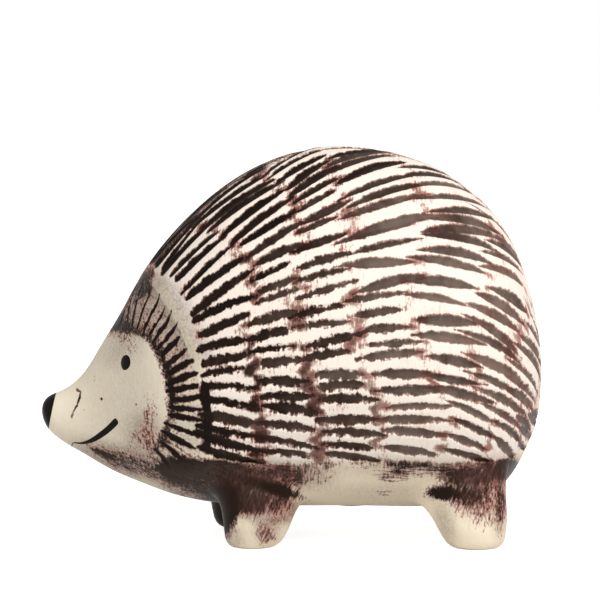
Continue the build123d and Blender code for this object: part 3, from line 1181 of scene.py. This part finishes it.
def smile_piece():
    """The smile: a ribbon on the skin from one cheek under the chin to the other.

    Across, its points stand at sines of an angle, under a half ellipse. Along, its width falls at each end
    as a quarter circle.
    """
    spots = on_skin(smile_pixels[:, :2])
    chin_along = spots[-1:, 0] * chin_along_share
    left = skin(spots[:, 0], spots[:, 1])
    chin = skin(chin_along, np.array([-quarter]))
    run = run_of(np.vstack([left, chin, left[::-1] * mirror_flip]))
    along = np.concatenate([spots[:, 0], chin_along, spots[::-1, 0]])
    around = np.concatenate([spots[:, 1], [-quarter], -np.pi - spots[::-1, 1]])
    width = np.concatenate([smile_pixels[:, 2], [chin_width], smile_pixels[::-1, 2]])
    fine = np.linspace(0, run[-1], smile_rows)
    along, around, width = (np.interp(fine, run, values) for values in (along, around, width))
    along, around = eased(along), eased(around)
    middle, normal = skin(along, around), skin_normal(along, around)
    sideways = unit(np.cross(normal, unit(np.gradient(middle, axis=0))))
    from_end = np.clip(np.minimum(fine, run[-1] - fine) / smile_end, 0, 1)
    blunt = np.sqrt(1 - (1 - from_end) ** 2)
    across = np.sin(np.linspace(-quarter, quarter, smile_columns))
    half = (width / 2 * np.maximum(blunt, 0.02))[:, None, None]
    crown = smile_crown * np.sqrt(1 - across**2) - smile_sunk
    points = middle[:, None] + sideways[:, None] * half * across[:, None] + normal[:, None] * crown[:, None]
    faces = grid_faces(smile_rows, smile_columns, False)
    return make_piece("smile_line", points.reshape(-1, 3), [faces], "smile_inlay")


# Eyes: the place, the lean in degrees and, in millimetres on the skin, the half sizes and the dome's height
eye_pixel = (125.4, 362.4)
eye_lean = 15.0
eye_half_breadth, eye_half_height, eye_dome = 2.65, 2.6, 0.34
# How deep an eye's edge is sunk, how much broader it is above and the face's radius under it, in
# millimetres, and the power that points its front and rear
eye_sunk, eye_broader, face_radius = 0.04, 0.3, 30.0
eye_point = 1.15
eye_rings, eye_turns = 9, 48


def eye_piece(node, side):
    """An eye: a leaning oval on the skin, raised to a low dome of thick slip.

    Its rim goes round by a sine up and a slightly pointed cosine across, a little broader above. The rings
    in it are shares of the rim at sines of an angle, under a quarter circle squashed to the dome's height.
    """
    (along, around), = on_skin([eye_pixel])
    centre, normal = skin(along, around), skin_normal(along, around)
    seen_up = unit(np.array([0, 0, 1.0]) - normal * normal[2])
    seen_along = unit(np.cross(seen_up, normal))
    seen_along = seen_along * np.sign(seen_along[0])
    lean = math.radians(eye_lean)
    tall = seen_up * math.cos(lean) + seen_along * math.sin(lean)
    broad = seen_along * math.cos(lean) - seen_up * math.sin(lean)
    turn = np.linspace(0, 2 * np.pi, eye_turns, endpoint=False)[:, None]
    pointed = np.abs(np.cos(turn)) ** eye_point * np.sign(np.cos(turn))
    half_breadth = eye_half_breadth + eye_broader * np.sin(turn)
    rim = half_breadth * pointed * broad + eye_half_height * np.sin(turn) * tall
    share = np.sin(np.linspace(0.12, quarter, eye_rings))[:, None, None]
    dome = eye_dome * np.sqrt(1 - share**2) - eye_sunk
    curve = ((rim * share) ** 2).sum(axis=-1, keepdims=True) / (2 * face_radius)
    points = (centre + rim * share + normal * (dome - curve)).reshape(-1, 3)
    points = np.vstack([points, centre + normal * (eye_dome - eye_sunk)])
    rings = grid_faces(eye_rings, eye_turns, True)
    cap = cap_faces(len(points) - 1, loop_of(eye_turns), False)
    first, second, third = points[rings[0, :3]]
    facing = np.cross(second - first, third - second) @ normal
    if side > 0:
        points = points * mirror_flip
        facing = -facing
    if facing < 0:
        rings, cap = rings[:, ::-1], cap[:, ::-1]
    return make_piece(f"{node}_dome", points, [rings, cap], node)


# The vent's rim and wall, from the belly inwards: radius and height over the belly, in millimetres
vent_profile = np.array([
    (5.4, 0.25), (5.0, -0.02), (4.6, -0.1), (4.2, 0.02), (4.0, 0.35), (3.95, 1.2), (3.95, 4.2), (3.9, 4.5),
])
vent_turns = 72
# The heights over the belly between which the hole turns dark, painted shade for the hollow inside
hole_shade_fade = (0.3, 1.6)


def vent_piece():
    """The vent: its profile turned round an upright axis, closed at its top by a disc. Up its wall and on
    the disc it turns dark, painted shade for the hollow inside.
    """
    belly_height = skin(*settle(np.array([[vent_along, -0.1]])))[0, 2]
    radius, height = vent_profile.T[:, :, None]
    turn = np.linspace(0, 2 * np.pi, vent_turns, endpoint=False)
    x, y = vent_along + radius * np.cos(turn), radius * np.sin(turn)
    points = np.stack([x, y, np.broadcast_to(belly_height + height, x.shape)], axis=-1).reshape(-1, 3)
    points = np.vstack([points, [vent_along, 0, belly_height + vent_profile[-1, 1]]])
    last_ring = loop_of(vent_turns, (len(vent_profile) - 1) * vent_turns)
    faces = grid_faces(len(vent_profile), vent_turns, True)
    top = cap_faces(len(points) - 1, last_ring, True)
    hole_shade = smooth_step(*hole_shade_fade, points[:, 2] - belly_height)
    values = slip_fields(len(points), film=hole_shade * 1.2, inside_mm=far_outside + hole_shade * 4)
    return make_piece("vent_rim", points, [faces, top], "body_shell", values)


shell_left = shell_half("body_shell_left", -1)
shell_right = shell_half("body_shell_right", 1)
head = head_piece()
nose = nose_piece()
legs = [leg_piece(node, leg) for node, leg in leg_shapes.items()]
smile = smile_piece()
eyes = [eye_piece("eye_left", -1), eye_piece("eye_right", 1)]
vent = vent_piece()


# Materials


def linear(hex_colour):
    """Linear RGBA from an sRGB hex value such as "c8bfae"."""
    channels = [int(hex_colour[i : i + 2], 16) / 255 for i in (0, 2, 4)]
    return [c / 12.92 if c <= 0.04045 else ((c + 0.055) / 1.055) ** 2.4 for c in channels] + [1.0]


class Wire:
    """A value in a shader tree. Sums and products of wires add the nodes that work them out."""

    def __init__(self, tree, socket):
        self.tree, self.socket = tree, socket

    def worked_out(self, operation, other=0.0, clamp=False):
        settings = {"operation": operation, "use_clamp": clamp}
        return Wire(self.tree, add_node(self.tree, "ShaderNodeMath", settings, i0=self, i1=other).outputs[0])

    def __add__(self, other):
        return self.worked_out("ADD", other)

    def __sub__(self, other):
        return self.worked_out("SUBTRACT", other)

    def __mul__(self, other):
        return self.worked_out("MULTIPLY", other)

    def or_more(self, other):
        """The greater of the two values."""
        return self.worked_out("MAXIMUM", other)

    def clamped(self):
        """The value held between 0 and 1."""
        return self.worked_out("ADD", clamp=True)

    def step(self, low, high, start=0.0, end=1.0):
        """start up to low, end from high on, and a smooth step between them."""
        smooth = {"interpolation_type": "SMOOTHSTEP"}
        node = add_node(self.tree, "ShaderNodeMapRange", smooth, i0=self, i1=low, i2=high, i3=start, i4=end)
        return Wire(self.tree, node.outputs[0])


def add_node(tree, kind, settings=None, **links):
    """Add a node, set its properties, and give its sockets values or link them to wires and sockets.

    A socket goes by its name, with _ for a space, or by i and its number.
    """
    node = tree.nodes.new(kind)
    for key, value in (settings or {}).items():
        setattr(node, key, value)
    for key, value in links.items():
        by_number = key[0] == "i" and key[1:].isdigit()
        socket = node.inputs[int(key[1:])] if by_number else node.inputs[key.replace("_", " ")]
        if isinstance(value, Wire):
            value = value.socket
        if isinstance(value, bpy.types.NodeSocket):
            tree.links.new(value, socket)
        else:
            socket.default_value = value
    return node


def new_material(name):
    """A new material and its empty shader tree."""
    material = bpy.data.materials.new(name)
    material.use_nodes = True
    material.node_tree.nodes.clear()
    return material, material.node_tree


# Slip over clay, from a thin wash to a thick coat, plain and stained by iron: thickness and colour
slip_colours = [
    (0.0, "dcc4b6"), (0.35, "a98b7e"), (0.5, "8b7367"), (0.63, "6c5d54"), (0.74, "493a32"), (0.88, "22160f"),
    (1.0, "150c07"),
]
iron_colours = [
    (0.0, "e2bfb2"), (0.35, "a87c70"), (0.5, "845c51"), (0.63, "694941"), (0.74, "462f29"), (0.88, "28170f"),
    (1.0, "1a0e08"),
]
coat_clay_colour, coat_pink_colour = "f8ecdf", "e9cbbd"
wash_colour, iron_wash_colour = "85766a", "7c5646"
clay_roughness, slip_roughness = 0.6, 0.42
specular_level = 0.05


def stoneware(name, clay_colour, brush_turn, comb_turn, flecked):
    """Satin stoneware: cream clay under a dark slip, brushed on, left in the cuts and wiped off elsewhere.

    The distance inside the cuts and the film between them are broken up by noise that is drawn out along the
    brush and along the wiping cloth, so that the slip's edges look combed. The thickness of the slip picks
    its colour, from a pink wash through brown to near black, which gives the coat its depth and warmth.
    brush_turn and comb_turn are the directions of brush and cloth in the side view, in degrees, and flecked
    is how far the slip off the coat breaks up into flecks.
    """
    material, tree = new_material(name)
    place = add_node(tree, "ShaderNodeTexCoord").outputs["Object"]

    def field(key):
        return Wire(tree, add_node(tree, "ShaderNodeAttribute", {"attribute_name": key}).outputs["Fac"])

    def drawn_out(turn, length, across=1.0):
        """Object coordinates stretched along a direction of the side view, and across from side to side."""
        return add_node(
            tree, "ShaderNodeMapping", {"vector_type": "TEXTURE"}, Vector=place,
            Rotation=(0, math.radians(-turn), 0), Scale=(length, across, 1),
        ).outputs[0]

    def grain(vector, size_mm, detail, rough):
        """Noise between minus one and one, mostly within half, with grains of a size in millimetres."""
        noise = add_node(
            tree, "ShaderNodeTexNoise", Vector=vector, Scale=1 / (size_mm * MM), Detail=detail,
            Roughness=rough,
        )
        return Wire(tree, noise.outputs[0]) * 2 - 1

    def blend(share, first, second):
        settings = {"data_type": "RGBA"}
        return add_node(tree, "ShaderNodeMix", settings, i0=share, i6=first, i7=second).outputs[2]

    def shades(colours, thick):
        """Colours by thickness."""
        ramp = add_node(tree, "ShaderNodeValToRGB", Fac=thick)
        band = ramp.color_ramp
        band.elements[0].position, band.elements[0].color = 0.0, linear(colours[0][1])
        band.elements[1].position, band.elements[1].color = 1.0, linear(colours[-1][1])
        for position, colour in colours[1:-1]:
            band.elements.new(position).color = linear(colour)
        return ramp.outputs[0]

    # The grains: the wiping cloth's comb, the brush, flecks, chunks, and slow wander and cloud
    comb = grain(drawn_out(comb_turn, 4.0, 4.0), 0.75, 3.0, 0.7)
    brush = grain(drawn_out(brush_turn, 7.0), 0.7, 4.0, 0.7)
    fleck = grain(place, 0.8, 2.0, 0.6)
    chunk = grain(place, 1.8, 2.0, 0.5)
    wander = grain(place, 3.6, 3.0, 0.6)
    cloud = grain(place, 9.0, 3.0, 0.55)
    coat, soft = field("coat"), field("soft")

    # Slip in the cuts, with combed edges
    rough_edge = comb * 1.7 + wander * 1.6 + chunk * 1.6
    level = field("inside_mm") + rough_edge * field("wander")
    cut = level.step(-0.4, 0.42) * (field("dark") + (wander * 0.1 + cloud * 0.1))

    # The film between them: strands of cloth and brush, broken into flecks, and thinner where it is soft
    crossed = comb * 0.5 + brush * 0.8
    strands = crossed + field("upright") * (comb - crossed)
    breaks = strands * (coat * -0.45 + 1.1) + fleck * (coat * (0.25 - flecked) + flecked) + cloud * 0.5
    breaks = breaks * (soft * -0.25 + 1)
    present = (field("film") * 5 + 0.25).clamped()
    cover = (field("dark") * 2.2 - 1).clamped()
    film = (field("film") + breaks * present).step(0.2, 1.08, 0.0, 0.9) * cover
    thinned = strands * 0.42 - 0.19 + cloud * 0.12
    film = film * (soft * thinned + 1)

    # Colour: slip over clay, with iron stain in the slip and in the thin wash on the clay
    thick = cut.or_more(film)
    iron = (field("rust") + cloud * 1.2).step(0.15, 1.0)
    slip_shade = blend(iron, shades(slip_colours, thick), shades(iron_colours, thick))
    washed = field("wash") * (fleck * 0.8 + 1) + comb * 0.12
    wash_shade = blend(iron, linear(wash_colour), linear(iron_wash_colour))
    clay = blend(washed, blend(coat, linear(clay_colour), linear(coat_clay_colour)), wash_shade)
    pink = (strands * 0.8 + cloud).step(0.0, 0.8, 0.0, 0.75)
    clay = blend(pink * coat, clay, linear(coat_pink_colour))
    colour = blend(thick.step(0.03, 0.26), clay, slip_shade)

    bump = add_node(
        tree, "ShaderNodeBump", Strength=0.6, Distance=0.12 * MM, Height=fleck * 0.5 + strands * 0.5
    )
    shader = add_node(
        tree, "ShaderNodeBsdfPrincipled", Base_Color=colour, Normal=bump.outputs[0],
        Roughness=thick.step(0.0, 1.0, clay_roughness, slip_roughness), Specular_IOR_Level=specular_level,
    )
    add_node(tree, "ShaderNodeOutputMaterial", Surface=shader.outputs[0])
    return material


# Brush strokes run along the belly and the band over the legs, down the jaw, and down the legs
carved = stoneware("stoneware_carved_slip_wiped", "f7e8ce", -4.0, 90.0, flecked=0.25)
face = stoneware("stoneware_face_burnished", "efe3cc", -24.0, 90.0, flecked=0.6)
foot = stoneware("stoneware_foot_brushed", "f7e8ce", 68.0, 100.0, flecked=0.35)
for piece in (shell_left, shell_right, vent):
    piece.data.materials.append(carved)
head.data.materials.append(face)
for piece in legs:
    piece.data.materials.append(foot)


def black_slip():
    """Satin black slip, brushed on thick: slightly uneven gloss and a faint brown where it thins."""
    material, tree = new_material("black_slip_brushed")
    place = add_node(tree, "ShaderNodeTexCoord").outputs["Object"]
    cloud = add_node(tree, "ShaderNodeTexNoise", Vector=place, Scale=500.0, Detail=3.0).outputs[0]
    colour = add_node(
        tree, "ShaderNodeMix", {"data_type": "RGBA"}, i0=cloud, i6=linear("0d0a08"), i7=linear("1b1510")
    ).outputs[2]
    rough = add_node(tree, "ShaderNodeMapRange", i0=cloud, i3=0.26, i4=0.42).outputs[0]
    bump = add_node(tree, "ShaderNodeBump", Strength=0.3, Distance=0.05 * MM, Height=cloud).outputs[0]
    shader = add_node(
        tree, "ShaderNodeBsdfPrincipled", Base_Color=colour, Roughness=rough, Normal=bump,
        Specular_IOR_Level=specular_level,
    )
    add_node(tree, "ShaderNodeOutputMaterial", Surface=shader.outputs[0])
    return material


slip = black_slip()
for piece in (nose, smile, *eyes):
    piece.data.materials.append(slip)


# Studio

paper_glow = 0.85
surround_strength = 0.45
floor_half = 3.0
lamp_target = (0, 0, 0.06)
lamps = (
    # name, place in metres, width, power in watts
    ("key", (0.65, -0.75, 0.95), 0.45, 11.4),
    ("fill", (-0.8, -0.9, 0.35), 0.8, 3.0),
)


def looked_at(tree):
    """1 where the camera looks, straight, mirrored or through glass, and 0 where light only bounces."""
    path = add_node(tree, "ShaderNodeLightPath").outputs
    looked = Wire(tree, path["Is Camera Ray"]).or_more(path["Is Glossy Ray"])
    return looked.or_more(path["Is Transmission Ray"])


def lay_floor():
    """A plain white floor that glows where it is looked at, so that it ends in the white surround."""
    mesh = bpy.data.meshes.new("floor")
    corners = [(-floor_half, -floor_half, 0), (floor_half, -floor_half, 0)]
    corners += [(floor_half, floor_half, 0), (-floor_half, floor_half, 0)]
    mesh.from_pydata(corners, [], [(0, 1, 2, 3)])
    floor = bpy.data.objects.new("floor", mesh)
    bpy.context.scene.collection.objects.link(floor)
    paper, tree = new_material("white_paper")
    glow = add_node(tree, "ShaderNodeEmission", Color=(1, 1, 1, 1), Strength=looked_at(tree) * paper_glow)
    matt = add_node(tree, "ShaderNodeBsdfDiffuse", Color=(0.8, 0.8, 0.8, 1))
    both = add_node(tree, "ShaderNodeAddShader", i0=glow.outputs[0], i1=matt.outputs[0])
    add_node(tree, "ShaderNodeOutputMaterial", Surface=both.outputs[0])
    floor.data.materials.append(paper)


def hang_surround():
    """A white surround that gives only a part of its brightness as light."""
    world = bpy.data.worlds.new("surround")
    bpy.context.scene.world = world
    world.use_nodes = True
    tree = world.node_tree
    tree.nodes.clear()
    strength = looked_at(tree) * (1 - surround_strength) + surround_strength
    sky = add_node(tree, "ShaderNodeBackground", Color=(1, 1, 1, 1), Strength=strength)
    add_node(tree, "ShaderNodeOutputWorld", Surface=sky.outputs[0])


def aim_at(thing, target):
    """Turn a lamp or the camera so that it looks at a point."""
    thing.rotation_euler = (Vector(target) - thing.location).to_track_quat("-Z", "Y").to_euler()


def light_up():
    """A soft key lamp from the upper right and a weak fill from the left."""
    for name, spot, width, power in lamps:
        lamp = bpy.data.lights.new(name, "AREA")
        lamp.size = width
        lamp.energy = power
        holder = bpy.data.objects.new(name, lamp)
        bpy.context.scene.collection.objects.link(holder)
        holder.location = spot
        aim_at(holder, lamp_target)


def set_camera():
    """The camera of the photo: its middle looks at the aim, and its lens frames the photo's width there."""
    scene = bpy.context.scene
    camera = bpy.data.objects.new("camera", bpy.data.cameras.new("camera"))
    scene.collection.objects.link(camera)
    scene.camera = camera
    camera.data.sensor_width = 36.0
    camera.data.lens = camera.data.sensor_width * camera_distance / (photo_size * mm_per_pixel)
    look = np.array([aim, 0.0, lift / math.cos(camera_elevation)])
    away = np.array([0, -math.cos(camera_elevation), math.sin(camera_elevation)])
    camera.location = (look + away * camera_distance) * MM
    aim_at(camera, look * MM)
    camera.data.clip_end = 20
    scene.view_settings.view_transform = "Standard"


lay_floor()
hang_surround()
light_up()
set_camera()
